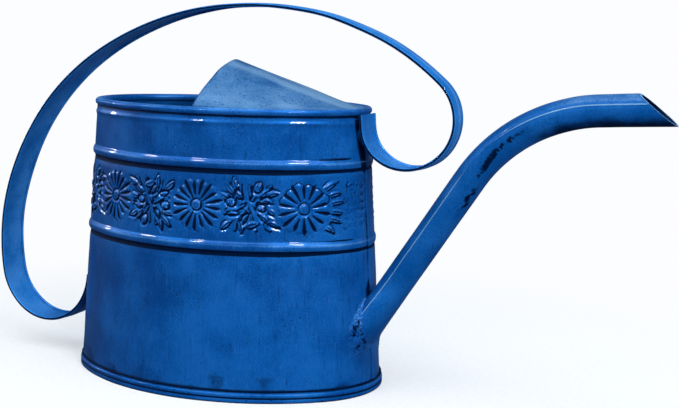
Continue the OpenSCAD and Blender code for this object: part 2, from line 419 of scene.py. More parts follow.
wall = {
    "beads": (90.0, 136.5),     # heights of the two beads
    "beadRadius": 3.0,
    "beadSink": 1.2,
    "beadOut": 0.6,             # flattens the bead
    "grooveDepth": 0.45,        # of the crease under each bead
    "grooveDrop": 4.1,          # from a bead's middle down to the crease
    "swell": 0.56,              # of a swelling just under the rim
    "swellDrop": 3.4,           # from the rim's underside down to it
    "swellWide": 1.3,
    "seamWidth": 6.0,
    "seamThick": 0.5,
    "columns": 231,             # round the can, apart from those at the seam
    "bandStep": 0.52,           # height between rows where the flowers are
    "wave": 0.10,               # how far the sheet is out of true
}

band = {
    "low": 94.0,
    "high": 130.6,
    "middle": 112.6,
    "firstFlower": -47.5,       # distance round the wall from the front seam
    "repeat": 62.6,
    "flowers": 7,
    "flowerRadius": 14.8,
    "flowerWide": 1.05,         # how much wider than high the flowers are
    "petals": 17,
    "relief": 0.55,             # how far the shapes stand out
    "crease": 0.7,              # how deep the lines in and round them are
}


class Relief:                   # heights and stains over the unrolled band: columns at s, rows at z
    def __init__(self, s, z, length):
        self.s, self.z = np.broadcast_arrays(s[None, :], z[:, None])
        self.length = length
        self.height = np.zeros(self.s.shape)
        self.line = np.zeros(self.s.shape)      # dark wiped into lines cut into a shape
        self.edge = np.zeros(self.s.shape)      # dark round a shape's outline: patina, and painted shade on its lower right
        # lighter just inside outlines and beside petal lines: rubbing and painted highlights
        self.rubAndHighlight = np.zeros(self.s.shape)

    def near(self, at, up, reach, turn=0.0):    # points in reach, as x along the shape and y across it
        ds = (self.s - at + self.length / 2) % self.length - self.length / 2
        dz = self.z - up
        pick = ds ** 2 + dz ** 2 < reach ** 2
        c, s = math.cos(turn), math.sin(turn)
        x, y = ds[pick], dz[pick]
        return pick, x * c + y * s, y * c - x * s

    def lay(self, pick, edge, height, lines, lift=1.0):     # edge is the distance outside the outline
        inside = edge < 0
        raised = smooth(-edge, 0, 0.7)
        dip = hill(edge, 0.45, 0.65) * band["crease"] * lift
        self.height[pick] = np.where(inside, height * lift * raised - lines * band["crease"] * 0.7 * lift,
                                     np.maximum(self.height[pick], 0) - dip)
        self.line[pick] = np.where(inside, lines * lift, self.line[pick])
        around = np.maximum(self.edge[pick], hill(edge, 0.2, 0.75))
        self.edge[pick] = np.where(inside, hill(edge, 0, 0.35), around) * lift
        # a lighter rim just inside the outline: rubbing and painted highlight
        self.rubAndHighlight[pick] = np.where(inside, hill(edge, -0.8, 0.45) * (1 - lines), self.rubAndHighlight[pick])

    def flower(self, at, up, radius, petals, turn, loops):     # loops is how strongly the tips are outlined
        pick, x, y = self.near(at, up, radius * 1.15)
        x = x / band["flowerWide"]
        r = np.hypot(x, y) + 1e-6
        step = 2 * math.pi / petals
        angle = np.arctan2(y, x) - turn - 0.16 * math.sin(at) * (r / radius - 0.5)
        between = np.floor(angle / step) + 0.5          # the line between two petals
        across = r * np.sin(angle - between * step)
        petal = np.round(angle / step)
        off = np.abs(angle / step - petal) * 2          # 0 in a petal's middle, 1 at its sides
        start = radius * (0.36 + 0.06 * np.sin(between * 1.7 + at))
        stop = radius * (1.0 + 0.07 * np.sin(between * 2.4 + at))
        wide = 0.42 + 0.66 * smooth(r, start, radius * 0.8)
        wide = wide * (1 - 0.75 * smooth(r, stop - 2.6, stop))
        lines = hill(across, 0, wide) * smooth(r, start - 0.9, start + 0.6)
        lines = lines * (1 - smooth(r, stop - 0.5, stop + 0.3))
        tip = radius * (1.0 - 0.05 * np.sin(petal * 2.1 + at)) - radius * 0.13 * off ** 2
        crown = 0.45 + 0.55 * np.sqrt(1 - off ** 2 * 0.98)
        crown = crown * (0.55 + 0.45 * smooth(r, radius * 0.2, radius * 0.6))
        crown = crown * (1 - smooth(r, tip - 1.7, tip + 0.2))
        self.height[pick] = band["relief"] * crown - lines * band["crease"]
        self.line[pick] = np.maximum(lines, loops * smooth(y, -3, 5) * hill(r, tip, 0.45))
        self.edge[pick] = 0
        # lighter beside the lines between petals: rubbing and painted highlight
        self.rubAndHighlight[pick] = hill(off, 0.5, 0.14) * (r > start) * (r < tip) * 0.7
        eye = radius * 0.2
        pick, x, y = self.near(at, up, eye + 1.5)
        r = np.hypot(x, y)
        dome = np.sqrt(np.clip(1.1 - (r / eye) ** 2, 0, 1))
        self.lay(pick, r - eye, band["relief"] * (0.35 + 0.95 * dome), hill(r, eye * 0.5, 0.3) * 0.3)

    def leaf(self, at, up, length, width, turn, curl=0.5, lift=1.0):   # lift below 1 makes it fainter
        pick, x, y = self.near(at, up, length * 0.6 + 2, turn)
        along = x / length + 0.5
        y = y - curl * (1 - (2 * along - 1) ** 2)
        half = width / 2 * np.sin(math.pi * np.clip(along, 0, 1) ** 0.8) ** 0.9
        past = np.maximum(-along, along - 1) * length
        edge = np.where((along > 0) & (along < 1), np.abs(y) - half, np.hypot(y, past))
        vein = hill(y, -0.1, 0.30) * (along > 0.05) * (along < 0.8)
        self.lay(pick, edge * 0.9, band["relief"] * (0.75 + 0.25 * np.cos(y / width * 3)), vein, lift)

    def stem(self, at, up, path, thick, lift=1.0):
        p = np.array(path, float) + (at, up)
        t = np.linspace(0, 1, 40)[:, None]
        line = (1 - t) ** 3 * p[0] + 3 * t * (1 - t) ** 2 * p[1] + 3 * t ** 2 * (1 - t) * p[2] + t ** 3 * p[3]
        middle = line.mean(0)
        pick, x, y = self.near(middle[0], middle[1], np.hypot(*(line - middle).T).max() + 2)
        apart = np.stack([x, y], -1)[:, None, :] + middle - line[None]
        edge = np.sqrt((apart ** 2).sum(-1)).min(1) - thick / 2
        self.lay(pick, edge, band["relief"] * 0.7, 0 * edge, lift)

    def bud(self, at, up, size, turn):
        pick, x, y = self.near(at, up, size * 1.6, turn)
        r = np.hypot(x / 1.3, y)
        lines = hill(np.abs(y), size * 0.3, 0.25) * (x > -size * 0.2) * 0.9
        dome = np.sqrt(np.clip(1.05 - (r / size) ** 2, 0, 1))
        self.lay(pick, r - size * 0.62, band["relief"] * 1.3 * dome, lines)

    def stainsAndShade(self):           # the lines keep their wiped-in dark, a little more on the lower right; round each outline the dark is patina and painted shade, mostly on the lower right of each shape
        alongS = np.gradient(self.height, axis=1) / np.gradient(self.s, axis=1)
        alongZ = np.gradient(self.height, axis=0) / np.gradient(self.z, axis=0)
        away = alongZ * 0.83 - alongS * 0.55
        side = smooth(away, -0.25, 0.45)
        return np.clip(np.maximum(self.line * (0.8 + 0.4 * side), self.edge * (0.15 + 1.25 * side)), 0, 1)


foliage = {                     # one stretch between two flowers, in mm from its middle
    "stems": [
        [(-5, 13), (-6, 4), (0, 0), (4, -13)],
        [(0, 12), (0, 3), (6, -2), (10, -12)],
        [(-15, -3), (-11, -6), (-8, -1), (-3, 1)],
        [(3, 3), (7, 6), (11, 1), (15, 3)],
        [(-3, -3), (-6, -4), (-8, -9), (-8, -13)],
        [(2, 4), (3, 8), (7, 9), (12, 12)],
        [(-9, 8), (-7, 5), (-9, 2), (-13, 3)],
        [(12, -13), (8, -11), (9, -6), (12, -7)],
    ],
    "leaves": [                 # x, y, length, width and turn in degrees
        (-11.0, 11.0, 9.5, 3.4, 135), (-14.5, 6.5, 8.0, 3.2, 160), (-7.6, 12.2, 8.5, 3.0, 103),
        (9.5, 8.0, 8.5, 3.4, 38), (14.0, 8.0, 8.0, 3.2, 20), (1.6, -10.5, 8.0, 4.2, 25),
        (-12.5, -9.8, 8.5, 3.4, 40), (-5.0, -11.5, 7.5, 3.2, -72), (8.6, -7.0, 7.5, 3.0, -42),
        (14.5, -10.5, 7.5, 3.0, -20), (13.6, -3.0, 8.0, 3.2, -25), (-15.5, 0.5, 7.0, 3.2, 172),
        (-5.8, 7.2, 6.0, 2.4, 118), (-1.8, -7.0, 6.0, 2.4, 65), (10.0, 3.6, 6.0, 2.4, -15),
        (-9.5, -4.5, 6.0, 2.3, 10),
    ],
    "buds": [                   # x, y, size and turn
        (4.6, 11.2, 3.5, 60), (-10.6, 2.6, 3.3, 160), (7.4, -0.5, 2.7, -20),
    ],
    "endLeaves": [              # beside the last flower: distance, height, length and turn in radians
        (15.5, 11.5, 12, 0.55), (19, 7, 11, 0.2), (20.5, 2.2, 12, 0.12),
        (20, -3.5, 12, -0.12), (18.5, -8, 11, -0.3), (14, -12.6, 10, -0.6),
    ],
}


# Odd stretches are turned half round and every one is a little different.
def growFoliage(relief, at, up, number):
    chance = np.random.default_rng(20 + number)
    flip = -1 if number % 2 else 1
    half = 180 if number % 2 else 0
    for path in foliage["stems"]:
        relief.stem(at, up, [(x * flip, y * flip) for x, y in path], 1.3)
    for x, y, length, width, turn in foliage["leaves"]:
        dx, dy, twist = chance.uniform(-0.6, 0.6, 3)
        angle = math.radians(turn + half + twist * 18)
        relief.leaf(at + x * flip + dx, up + y * flip + dy, length, width, angle)
    for x, y, size, turn in foliage["buds"]:
        dx, dy = chance.uniform(-0.4, 0.4, 2)
        relief.bud(at + x * flip + dx, up + y * flip + dy, size, math.radians(turn + half))


# Where the pattern runs out towards the seam: long leaves beside the flower, then small low tendrils.
def growEnd(relief, flower, side, up):
    chance = np.random.default_rng(3 if side > 0 else 4)
    turned = 0 if side > 0 else math.pi
    for far, high, length, turn in foliage["endLeaves"]:
        relief.leaf(flower + side * far, up + high, length, 3.4, side * turn + turned, 0.8)
    for i in range(6):
        at = flower + side * (27 + 2.9 * i)
        for level in (-11, -6.5, -2, 2.5, 7, 11.5):
            high = up + level + chance.uniform(-1.2, 1.2)
            if chance.random() < 0.6:
                length, width, turn = chance.uniform(4, 6), chance.uniform(1.5, 2.2), chance.uniform(0, 3)
                relief.leaf(at, high, length, width, turn, 0.3, 0.6)
            else:
                relief.stem(at, high, [(-2.4, -1), (-1, 2), (1, 2.4), (2.2, -1.2)], 0.8, 0.5)


def makeBand(s, z, length):
    relief = Relief(s, z, length)
    up = band["middle"]
    spots = [band["firstFlower"] - band["repeat"] * i for i in range(band["flowers"])]
    for i in range(len(spots) - 1):
        growFoliage(relief, spots[i] - band["repeat"] / 2, up, i)
    growEnd(relief, spots[0], 1, up)
    growEnd(relief, spots[-1], -1, up)
    for i, at in enumerate(spots):
        last = i in (0, len(spots) - 1)     # beside the seam: 1 mm lower, fewer petals, outlined tips
        relief.flower(at, up - last, band["flowerRadius"], band["petals"] - 3 * last, 0.4 * i, 0.9 * last)
    fade = smooth(relief.z, band["low"] - 0.2, band["low"] + 1.2) * (
        1 - smooth(relief.z, band["high"] - 1.2, band["high"] + 0.2))
    return relief.height * fade, relief.stainsAndShade() * fade, relief.rubAndHighlight * fade


def beadShape(z):
    out = np.zeros_like(z)
    for middle in wall["beads"]:
        bulge = np.sqrt(np.clip(wall["beadRadius"] ** 2 - (z - middle) ** 2, 0, None)) - wall["beadSink"]
        out = out + np.maximum(bulge, 0) * wall["beadOut"]
    return out


# How the sheet is pressed at distance s round and height z, with its stains and rubbed places.
def wallSurface(s, z, length, pressed=None):
    fromSeam = np.minimum(s % length, -s % length)
    narrow = 1 - smooth(fromSeam, 22, 62)               # the creases are finer near the seam
    out = beadShape(z) * (0.25 + 0.75 * smooth(fromSeam, 6, 26))
    stainAndShade = np.zeros_like(out)
    rubAndHighlight = np.zeros_like(out)
    for middle in wall["beads"]:
        drop = z - (middle - wall["grooveDrop"])
        wide = np.where(drop > 0, 1.0, 3.2) * (1 - 0.6 * narrow)
        out = out - wall["grooveDepth"] * (1 - 0.4 * narrow) * hill(drop - 0.6 * narrow, 0, wide)
        tall = 1.9 - 1.15 * narrow
        # painted shade, with patina: a dark band in the crease under each bead
        stainAndShade = np.maximum(stainAndShade, smooth(drop, -tall, -tall + 0.8) * (1 - smooth(drop, 1.3, 1.8)))
        stainAndShade = np.maximum(stainAndShade, 0.7 * narrow * hill(z, middle + 3.1, 0.5) * smooth(fromSeam, 12, 20))
        # a painted highlight: lighter along the upper part of each bead
        rubAndHighlight = np.maximum(rubAndHighlight, 0.55 * hill(z, middle + 0.8, 1.3))
    under = rimLow[2] - z
    out = out + wall["swell"] * hill(under, wall["swellDrop"], wall["swellWide"])
    # painted shade, with patina: dark just under the rim
    stainAndShade = np.maximum(stainAndShade, 0.9 * (1 - smooth(under, 0, 1.1)))
    stainAndShade = np.maximum(stainAndShade, 0.5 * hill(z, hoopHigh[2], 0.8))
    # a painted shadow in a wedge beside the strap's end, a dark spot above the spout and smudges low down
    toNear = (s + length / 2) % length - length / 2     # less than 0 on one side of the seam
    wedge = -3.5 - 0.27 * (z - 134)
    shade = hill(toNear, wedge, 2.6 + 0.05 * (162 - z)) * smooth(z, 128, 134) * (1 - smooth(z, 160, 164))
    stainAndShade = np.maximum(stainAndShade, 0.9 * shade)
    stainAndShade = np.maximum(stainAndShade, 0.95 * hill(toNear, -3.6, 2.1) * hill(z, 62, 3.6))
    smudges = 0.5 * ripple(np.stack([s, 0 * s, z * 1.4], -1), 26, 71)
    stainAndShade = np.maximum(stainAndShade, np.clip(smudges, 0, 0.34) * (1 - smooth(z, 11, 26)))
    if pressed:
        height, creases, crests = pressed
        out = out + height
        stainAndShade = np.maximum(stainAndShade, creases)
        rubAndHighlight = np.maximum(rubAndHighlight, 0.6 * crests)
    seam = 1 - smooth(fromSeam, wall["seamWidth"] / 2 - 0.15, wall["seamWidth"] / 2 + 0.15)
    out = np.where(seam > 0, np.maximum(out, 0) * (1 - 0.6 * seam) + wall["seamThick"] * seam, out)
    stainAndShade = np.maximum(stainAndShade * (1 - 0.5 * seam), 0.45 * hill(fromSeam, wall["seamWidth"] / 2 + 0.3, 0.5))
    rubAndHighlight = np.maximum(rubAndHighlight, 0.5 * hill(fromSeam, wall["seamWidth"] / 2 - 0.6, 0.5))
    return out, stainAndShade, rubAndHighlight


def makeWall():
    half = wall["seamWidth"] / 2
    seamSpots = [-half - 0.6, -half - 0.15, -half + 0.15, -half / 2, 0,
                 half / 2, half - 0.15, half + 0.15, half + 0.6]
    middleOut = wallHalf(band["middle"]) - oval["halfLength"]
    length = turnsAt(0, middleOut)[1]
    others = np.linspace(seamSpots[-1], length + seamSpots[0], wall["columns"] + 2)[1:-1]
    coarse = np.concatenate([seamSpots, others])
    nexts = np.append(coarse[1:], length + coarse[0])

    def spots(parts):       # each coarse step cut into parts
        shares = np.arange(parts) / parts
        return (coarse[:, None] + (nexts - coarse)[:, None] * shares).ravel()

    def once(heights):      # rows with one point to a coarse step; rows in the band have four
        return [(z, 1) for z in heights]

    bandRows = np.arange(band["low"], band["high"], wall["bandStep"])
    beadRows = [np.arange(m - 6.2, m + 3.4, 0.5) for m in wall["beads"]]
    swellRows = [rimLow[2] - wall["swellDrop"] + step
                 for step in (-3.2, -2.4, -1.7, -1.1, -0.5, 0, 0.4, 0.8, 1.2, 1.7, 2.4)]
    top = rimLow[2] + 0.9
    plan = once([0.4, 4, 7.2, 8.2, 10, 14, 20, 27, 34, 41, 48, 55, 62, 68, 74, 79, 82])
    plan += once(beadRows[0]) + [(band["low"] - 0.4, 2)] + [(z, 4) for z in bandRows] + [(band["high"], 2)]
    plan += once(z for z in beadRows[1] if z > band["high"]) + once([141.5, 144, 148, 152])
    plan += once(swellRows) + once([top])
    inside = once([top, 160, 155, 150, 145, 141]) + once(np.arange(139.5, 132, -0.75))
    inside += once([128, 122, 116, 110, 104, 98]) + once(np.arange(93, 85, -0.75))
    inside += once([82, 70, 60, 50, 40, 30, 20, 10, 5, 0.4])
    rows, stainsAndShade, rubsAndHighlights = [], [], []
    pattern = makeBand(spots(4), bandRows, length)
    for i, (z, parts) in enumerate(plan + inside):
        s = spots(parts)
        turn = turnsAt(s % length, middleOut)[0]
        pressed = None
        if parts == 4:
            pressed = [part[np.argmin(np.abs(bandRows - z))] for part in pattern]
        out, stainAndShade, rubAndHighlight = wallSurface(s, np.full_like(s, z), length, pressed)
        if i >= len(plan):
            out = out * 0.9 - sheet
            stainAndShade = stainAndShade * 0.3
        base = wallHalf(z) - oval["halfLength"]
        at = ovalPoint(turn, base, z)
        calm = 1 - smooth(z, 155, 163)
        out = out + wall["wave"] * ripple(at, 46, 5) * calm + 0.5 * wall["wave"] * ripple(at, 17, 6) * calm
        rows.append(ovalPoint(turn, base + out, z))
        stainsAndShade.append(stainAndShade)
        rubsAndHighlights.append(rubAndHighlight)
    counts = [len(r) for r in rows]
    marks = {"patinaAndShade": np.concatenate(stainsAndShade), "wearAndHighlight": np.concatenate(rubsAndHighlights)}
    makePiece("can_wall", np.concatenate(rows), stitch(counts), "wall", ["wall"], marks, 75)


makeWall()


# ---- hoop round the foot ----

def ovalTurns(count):       # evenly spaced round the can
    length = turnsAt(0, 0)[1]
    return turnsAt(np.arange(count) / count * length, 0)[0]


# Sweeps an outline of (out, z) points round the can. Its marks are one value for each outline point.
def ovalSweep(name, outline, finish, nodes, stainAndShade, rubAndHighlight, columns=240, wave=0.07, sharp=45):
    outline = np.array(outline, float)
    turns = ovalTurns(columns)
    rows = []
    for out, z in outline:
        at = ovalPoint(turns, out, z)
        push = wave * ripple(at, 30, 11)
        rows.append(ovalPoint(turns, out + push, z))
    marks = {"patinaAndShade": np.repeat(stainAndShade, columns), "wearAndHighlight": np.repeat(rubAndHighlight, columns)}
    faces = stitch([columns] * len(outline))
    makePiece(name, np.concatenate(rows), faces, finish, nodes, marks, sharp)


def arc(middle, radius, start, end, count):   # points of an arc, with angles in degrees
    a = np.radians(np.linspace(start, end, count))
    return np.stack([middle[0] + radius * np.cos(a), middle[1] + radius * np.sin(a)], -1)


hoop = {
    "lowRoll": 1.55,        # radius of the lower roll
    "highRoll": 1.35,       # radius of the upper one
    "flat": 0.5,            # less than 1 flattens the rolls
    "stand": -0.25,         # how far the rolls stand out past the foot's edge
}


def makeHoop():
    top = hoopHigh[2]
    lowR, highR = hoop["lowRoll"], hoop["highRoll"]
    edge = hoop["stand"]
    lowRoll = arc((edge - lowR, lowR), lowR, -88, 62, 12)
    highRoll = arc((edge - 0.15 - highR, lowR * 2 + highR * 0.85), highR, -58, 80, 12)
    inner = -hoopThick - 0.1
    rolls = np.concatenate([lowRoll, highRoll])
    rolls[:, 0] = edge + (rolls[:, 0] - edge) * hoop["flat"]
    outline = np.concatenate([[(inner, 0.0)], rolls, [(-0.95, top - 0.25), (inner - 0.1, top)]])
    groove = outline[:, 1] - (lowR * 2 - 0.1)
    # darker in the groove between the rolls, along the bottom and along the top; lighter high on each roll
    stainAndShade = 0.95 * hill(groove, 0, 0.55)
    stainAndShade = np.maximum(stainAndShade, 0.9 * (1 - smooth(outline[:, 1], 0.2, 1.0)))
    stainAndShade = np.maximum(stainAndShade, 0.95 * smooth(outline[:, 1], top - 0.9, top - 0.2))
    rubAndHighlight = 0.15 * hill(outline[:, 1], lowR * 1.25, 0.5)
    rubAndHighlight = rubAndHighlight + 0.4 * hill(outline[:, 1], lowR * 2 + highR * 1.1, 0.35)
    ovalSweep("foot_hoop", outline, "foot", ["base_hoop"], stainAndShade, rubAndHighlight)


makeHoop()


# ---- bottom plate ----

pan = {
    "inset": 14.0,          # from its edge in to a shallow step
    "step": 3.0,            # width of that step
    "rise": 1.6,            # how much higher the middle is
}


def makePan():
    z0 = panLow[2]
    edge = wallHalf(z0) - oval["halfLength"] - sheet - 0.05
    lip = wallHalf(panHigh[2]) - oval["halfLength"] - sheet - 0.05
    up = pan["rise"]
    reach = oval["endRadius"] - 8
    lower = [(-reach, z0 + up), (-30, z0 + up), (edge - pan["inset"] - pan["step"], z0 + up),
             (edge - pan["inset"], z0), (edge - 1.2, z0), (edge - 0.3, z0 + 0.4), (edge, z0 + 1.4),
             (lip, panHigh[2])]
    upper = [(lip - sheet, panHigh[2]), (edge - sheet - 0.1, z0 + 2.2), (edge - 1.6, z0 + sheet),
             (edge - pan["inset"] + 0.3, z0 + sheet), (edge - pan["inset"] - pan["step"], z0 + up + sheet),
             (-30, z0 + up + sheet), (-reach, z0 + up + sheet)]
    outline = lower + upper
    columns = 120
    turns = ovalTurns(columns)
    rows = [ovalPoint(turns, out, z) for out, z in outline]
    stainAndShade = np.repeat([0.1, 0.1, 0.5, 0.7, 0.2, 0.5, 0.8, 0.5, 0.3, 0.6, 0.8, 0.4, 0.3, 0.1, 0.1], columns)
    makePiece("bottom", np.concatenate(rows), tube(len(outline), columns), "pan", ["base_pan"],
              {"patinaAndShade": stainAndShade * 0.8}, 60)


makePan()


# ---- rolled rim ----

rim = {
    "radius": 2.2,
    "inside": 1.6,          # radius of its hollow
    "inward": 0.4,          # how far it sits inside the line of the wire
    "between": (-74, 258),  # angles between which it runs round the wire
}


def makeRim():
    start, end = rim["between"]
    middle = (rimHalf - oval["halfLength"] - rim["inward"] * 0.5, rimHeight)
    outer = arc(middle, rim["radius"], start, end, 34)
    inner = arc(middle, rim["inside"], end, start, 20)
    outline = np.concatenate([outer, inner])
    turn = np.concatenate([np.linspace(start, end, len(outer)), np.full(len(inner), 90.0)])
    # painted shade, with patina, along the lower outer side of the roll; darker also low on its inner side
    stainAndShade = 0.95 * (1 - smooth(turn, start + 8, start + 38))
    stainAndShade = np.maximum(stainAndShade, 0.7 * smooth(turn, 225, 250))
    # a painted highlight along the upper outer face of the roll
    rubAndHighlight = 0.55 * hill(turn, 62, 38)
    ovalSweep("rim", outline, "rim", ["rim_roll"], stainAndShade, rubAndHighlight)


makeRim()
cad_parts["rim_wire"].data.materials.clear()
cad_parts["rim_wire"].data.materials.append(finishes["wire"])


# ---- hood ----

hood = {
    "power": 1.6,           # roundness of its cross-section
    "foldAt": 0.40,         # where the soft fold runs, as a share of the half width
    "fold": 0.35,           # how far it stands out
    "inset": 2.0,           # its lower edge inside the rim's middle line
    "sink": 1.5,            # and below the rim's top
    "thick": 0.9,
    "lip": 1.5,             # height below which it flattens out towards the nose
    "along": 56,
    "across": 84,
}


def halfDepthAt(x, half):   # half depth of the oval of that half length, at x
    inset = oval["halfLength"] - half
    join = (oval["sideRadius"] - inset) * math.sin(math.pi / 2 - oval["joinTurn"])
    side = np.sqrt(np.clip((oval["sideRadius"] - inset) ** 2 - x ** 2, 0, None)) - oval["sideCentre"]
    end = np.sqrt(np.clip((oval["endRadius"] - inset) ** 2 - (np.abs(x) - oval["endCentre"]) ** 2, 0, None))
    return np.where(np.abs(x) < join, side, end)


def makeHood():
    x0, x1 = hoodLow[0], hoodHigh[0]
    base = rimHigh[2] - hood["sink"]
    rise = hoodHigh[2] - base
    x = np.linspace(x0, x1, hood["along"] + 1)[:, None]
    share = np.linspace(-1, 1, hood["across"] + 1)[None, :]
    share = np.sign(share) * np.abs(share) ** 0.9
    half = halfDepthAt(x, rimHalf - hood["inset"])
    tall = rise * (1 - (x - x0) / (x1 + 1 - x0) * 1.05)
    lip = hood["lip"]
    tall = np.where(tall > lip, tall, lip * np.exp((tall - lip) / lip))
    skins = []
    for inset in (0, hood["thick"]):
        lift = tall * (1 - np.abs(share) ** hood["power"])
        fold = hood["fold"] * hill(np.abs(share), hood["foldAt"], 0.10) * smooth(tall, 2, 12)
        z = base - inset * (1 - np.abs(share) ** 4 * 0.6) + lift + fold
        y = share * (half - inset)
        grid = np.stack([x + 0 * share, y, z + 0 * x], -1)
        grid[..., 2] += 0.16 * ripple(grid, 34, 21) * (1 - np.abs(share) ** 6)
        skins.append(grid)
    rows, columns = hood["along"] + 1, hood["across"] + 1
    size = rows * columns
    faces = []
    for i in range(rows - 1):
        for j in range(columns - 1):
            a = i * columns + j
            faces.append((a, a + 1, a + columns + 1, a + columns))
            faces.append((size + a, size + a + columns, size + a + columns + 1, size + a + 1))
    for j in range(columns - 1):
        end = (rows - 1) * columns + j
        faces.append((j, size + j, size + j + 1, j + 1))
        faces.append((end, end + 1, size + end + 1, size + end))
    for i in range(rows - 1):
        a, b = i * columns, i * columns + columns - 1
        faces.append((a, a + columns, size + a + columns, size + a))
        faces.append((b, size + b, size + b + columns, b + columns))
    edge = 1 - smooth(np.arange(rows) / rows, 0.0, 0.02)
    foot = np.abs(share[0]) ** 30
    stainAndShade = np.maximum(0.5 * edge[:, None], 0.55 * foot[None, :]) + 0 * x
    # painted shade: a darker streak beside the soft fold
    stainAndShade = np.maximum(stainAndShade, 0.24 * hill(np.abs(share), hood["foldAt"] + 0.10, 0.07) * smooth(tall, 3, 14))
    # a painted highlight along the ridge; lighter also low on each side and towards the nose
    rubAndHighlight = 0.8 * hill(np.abs(share), 0.14, 0.18) + 0.38 * hill(np.abs(share), 0.85, 0.2)
    rubAndHighlight = rubAndHighlight + 0.25 * smooth(x, x0 + 20, x1)
    marks = {"patinaAndShade": np.tile(stainAndShade.ravel(), 2), "wearAndHighlight": np.tile(rubAndHighlight.ravel(), 2)}
    points = np.concatenate([s.reshape(-1, 3) for s in skins])
    makePiece("hood_sheet", points, faces, "hood", ["hood"], marks, 50)


makeHood()


hoodJoint = {
    "share": 0.235,         # how far it goes each way from the front, as a share of the way round
    "radius": 1.25,
    "points": 150,
    "sides": 10,
}


# A lumpy bead of solder along the inside of the rim
def makeHoodSolder():
    count, sides = hoodJoint["points"], hoodJoint["sides"]
    chance = np.random.default_rng(7)
    where = np.linspace(-hoodJoint["share"], hoodJoint["share"], count) * turnsAt(0, 0)[1]
    turns = turnsAt(where % turnsAt(0, 0)[1], 0)[0]
    out = rimHalf - oval["halfLength"] - rimRadius - 0.5
    radius = hoodJoint["radius"] + 0.25 * np.sin(np.arange(count) * 0.9) + 0.12 * chance.normal(size=count)
    radius[[0, -1]] = 0.5
    a = np.radians(np.arange(0, 360, 360 // sides))
    rings = [ovalPoint(np.full(sides, turn), out + r * np.cos(a), rimHeight - 0.4 + r * np.sin(a))
             for turn, r in zip(turns, radius)]
    makePiece("hood_joint", np.concatenate(rings), tube(count, sides), "solder",
              ["hood_solder"], {"patinaAndShade": 0.1075, "wearAndHighlight": 0.2}, 60)


makeHoodSolder()


# ---- strap handle ----

strap = {
    "startHeight": 53,
    "arcs": [(38, 29), (32, 81.5), (35, 56), (118, 23), (160, 44), (204, 44.5), (170, 29),
             (29, 177.5), (22.5, 43.5), (71, 5), (700, 0.3)],   # radius and sweep, always clockwise
    "width": 23.0,
    "loopWidth": 14.5,      # at the turn of the front loop
    "tailWidth": 23.0,      # where it meets the front of the can
    "web": 0.9,             # thickness of the sheet between the folded edges
    "hem": 1.05,            # radius of the folded edges
    "crown": 0.8,           # how far its middle stands out
    "step": 2.2,            # between stations
    "stand": 0.8,           # from the seam's outside to its middle line
    "low": 0.15,            # how far the sheet sits inside the middle line
    "hemLow": 0.25,         # and the folded edges
    "flatPoints": 15,
    "hemPoints": 13,
}


def strapLine():            # points and headings along the strap's middle line
    start = -wallHalf(strap["startHeight"]) - wall["seamThick"] - strap["stand"]
    at = np.array([start, strap["startHeight"]], float)
    heading = -math.pi / 2 - lean
    points, headings = [], []
    for i, (radius, sweep) in enumerate(strap["arcs"]):
        sweep = math.radians(sweep)
        steps = max(3, math.ceil(radius * sweep / strap["step"]))
        centre = at - radius * aside(heading)
        last = i == len(strap["arcs"]) - 1
        for k in range(steps + last):
            h = heading - sweep * k / steps
            points.append(centre + radius * aside(h))
            headings.append(h)
        heading = heading - sweep
        at = centre + radius * aside(heading)
    return np.array(points), np.array(headings)


def strapSection(width):    # (across, out) points, and how dark or light each of them is
    r, web, crown = strap["hem"], strap["web"], strap["crown"]
    half = width / 2
    edge = half - r
    flat = np.linspace(-edge + r * 0.9, edge - r * 0.9, strap["flatPoints"])
    rise = crown * (1 - (flat / half) ** 2)
    outer = np.stack([flat, web / 2 + rise - strap["low"]], -1)
    inner = np.stack([flat[::-1], -web / 2 + rise[::-1] - strap["low"]], -1)
    right = arc((edge, -strap["hemLow"]), r, 128, -128, strap["hemPoints"])
    left = arc((-edge, -strap["hemLow"]), r, -52, -308, strap["hemPoints"])
    outline = np.concatenate([outer, right, inner, left])
    across = np.abs(outline[:, 0])
    # painted shade along both edges and beside the folded hems
    stainAndShade = 0.85 * smooth(across, half - 0.24, half - 0.06)
    stainAndShade = np.maximum(stainAndShade, 0.42 * hill(across, half - 2 * r, 0.4))
    hem = np.zeros(strap["hemPoints"])
    # a painted highlight down the middle of the outer face; the inner face is evenly lighter
    rubAndHighlight = np.concatenate([0.65 * hill(flat, 0, half * 0.45), hem, np.full(strap["flatPoints"], 0.45), hem])
    return outline, stainAndShade, rubAndHighlight


def makeStrap():
    line, headings = strapLine()
    lengths = np.append(0, np.cumsum(np.hypot(*np.diff(line, axis=0).T)))
    turnSpot = lengths[np.argmax(line[:, 0])]
    forward, tail = line[:, 0], lengths[-1] - 15
    upper = strap["width"] + (strap["loopWidth"] - strap["width"]) * smooth(forward, -70, forward.max() - 20)
    lower = strap["loopWidth"] + (strap["tailWidth"] - strap["loopWidth"]) * smooth(lengths, turnSpot, tail)
    widths = np.where(lengths < turnSpot, upper, lower)
    rows, stainsAndShade, rubsAndHighlights = [], [], []
    for at, h, width in zip(line, headings, widths):
        outline, stainAndShade, rubAndHighlight = strapSection(width)
        out = aside(h)
        across, up = outline.T
        rows.append(np.stack([at[0] + up * out[0], across, at[1] + up * out[1]], -1))
        stainsAndShade.append(stainAndShade)
        rubsAndHighlights.append(rubAndHighlight)
    points = np.concatenate(rows)
    points += 0.12 * ripple(points, 40, 31)[:, None] * np.array([1, 0.6, 1])
    faces = tube(len(rows), len(rows[0]))
    marks = {"patinaAndShade": np.concatenate(stainsAndShade), "wearAndHighlight": np.concatenate(rubsAndHighlights)}
    makePiece("strap", points, faces, "strap", ["handle_strap"], marks, 50)


makeStrap()


